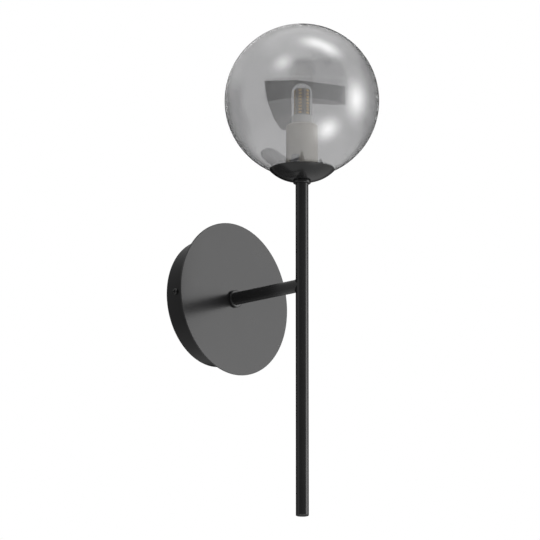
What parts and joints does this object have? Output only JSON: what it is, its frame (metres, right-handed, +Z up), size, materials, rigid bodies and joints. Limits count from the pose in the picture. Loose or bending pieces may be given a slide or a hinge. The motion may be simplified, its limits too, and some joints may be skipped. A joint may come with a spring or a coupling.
{
  "type": "globe wall sconce",
  "caption": "Wall light with a long vertical stem on a round canopy and a glass globe standing on a small dish round a G9 lamp.",
  "frame": {"origin": "centre of the wall plane, on the arm's axis and midway between the wall screws", "axes": "+Z up along the stem, +Y into the wall, the fixture stands out along -Y, +X to the right seen from the room"},
  "size_m": [0.12, 0.1572, 0.3876],
  "materials": {
    "black_paint": "satin powder coat",
    "zinc_steel": "zinc plated",
    "spring_steel": "oiled spring steel",
    "brass": "turned",
    "block_nylon": "moulded",
    "live_insulation": "extruded",
    "neutral_insulation": "extruded",
    "earth_insulation": "extruded",
    "silicone": "matt",
    "holder_ceramic": "unglazed steatite",
    "smoked_glass": "half-mirrored smoke",
    "lamp_glass": "clear",
    "lamp_moulding": "moulded",
    "board_white": "solder resist",
    "chip_yellow": "phosphor"
  },
  "bodies": {
    "fixture": {"canopy": "black_paint", "front_disc": "black_paint", "arm_collar": "black_paint", "arm_tube": "black_paint", "arm_weld": "black_paint", "stem_tube": "black_paint", "stem_end_plug": "black_paint", "stem_collar": "black_paint", "dish": "black_paint", "canopy_screws": "black_paint", "wall_bracket": "zinc_steel", "arm_washer": "zinc_steel", "arm_nut": "zinc_steel", "stem_washer": "zinc_steel", "stem_nut": "zinc_steel", "lampholder_base": "zinc_steel", "lampholder_screws": "zinc_steel", "terminal_fixing_screw": "zinc_steel", "terminal_screws": "zinc_steel", "earth_screw": "zinc_steel", "earth_tag": "zinc_steel", "globe_clip": "spring_steel", "lampholder_contacts": "spring_steel", "terminal_sleeves": "brass", "terminal_block": "block_nylon", "live_lead": "live_insulation", "neutral_lead": "neutral_insulation", "earth_lead": "earth_insulation", "globe_gasket": "silicone", "lampholder_body": "holder_ceramic"},
    "globe_shade": {"globe": "smoked_glass"},
    "lamp": {"lamp_base": "lamp_moulding", "lamp_pins": "zinc_steel", "lamp_board": "board_white", "lamp_chips": "chip_yellow", "lamp_cover": "lamp_glass"}
  },
  "joints": [
    {"name": "globe_lift", "type": "slide", "parent": "fixture", "child": "globe_shade", "axis": [0, 0, 1], "range_m": [0, 0.08], "deforming": ["globe_clip"]},
    {"name": "lamp_pull", "type": "slide", "parent": "fixture", "child": "lamp", "axis": [0, 0, 1], "range_m": [0, 0.025]}
  ]
}
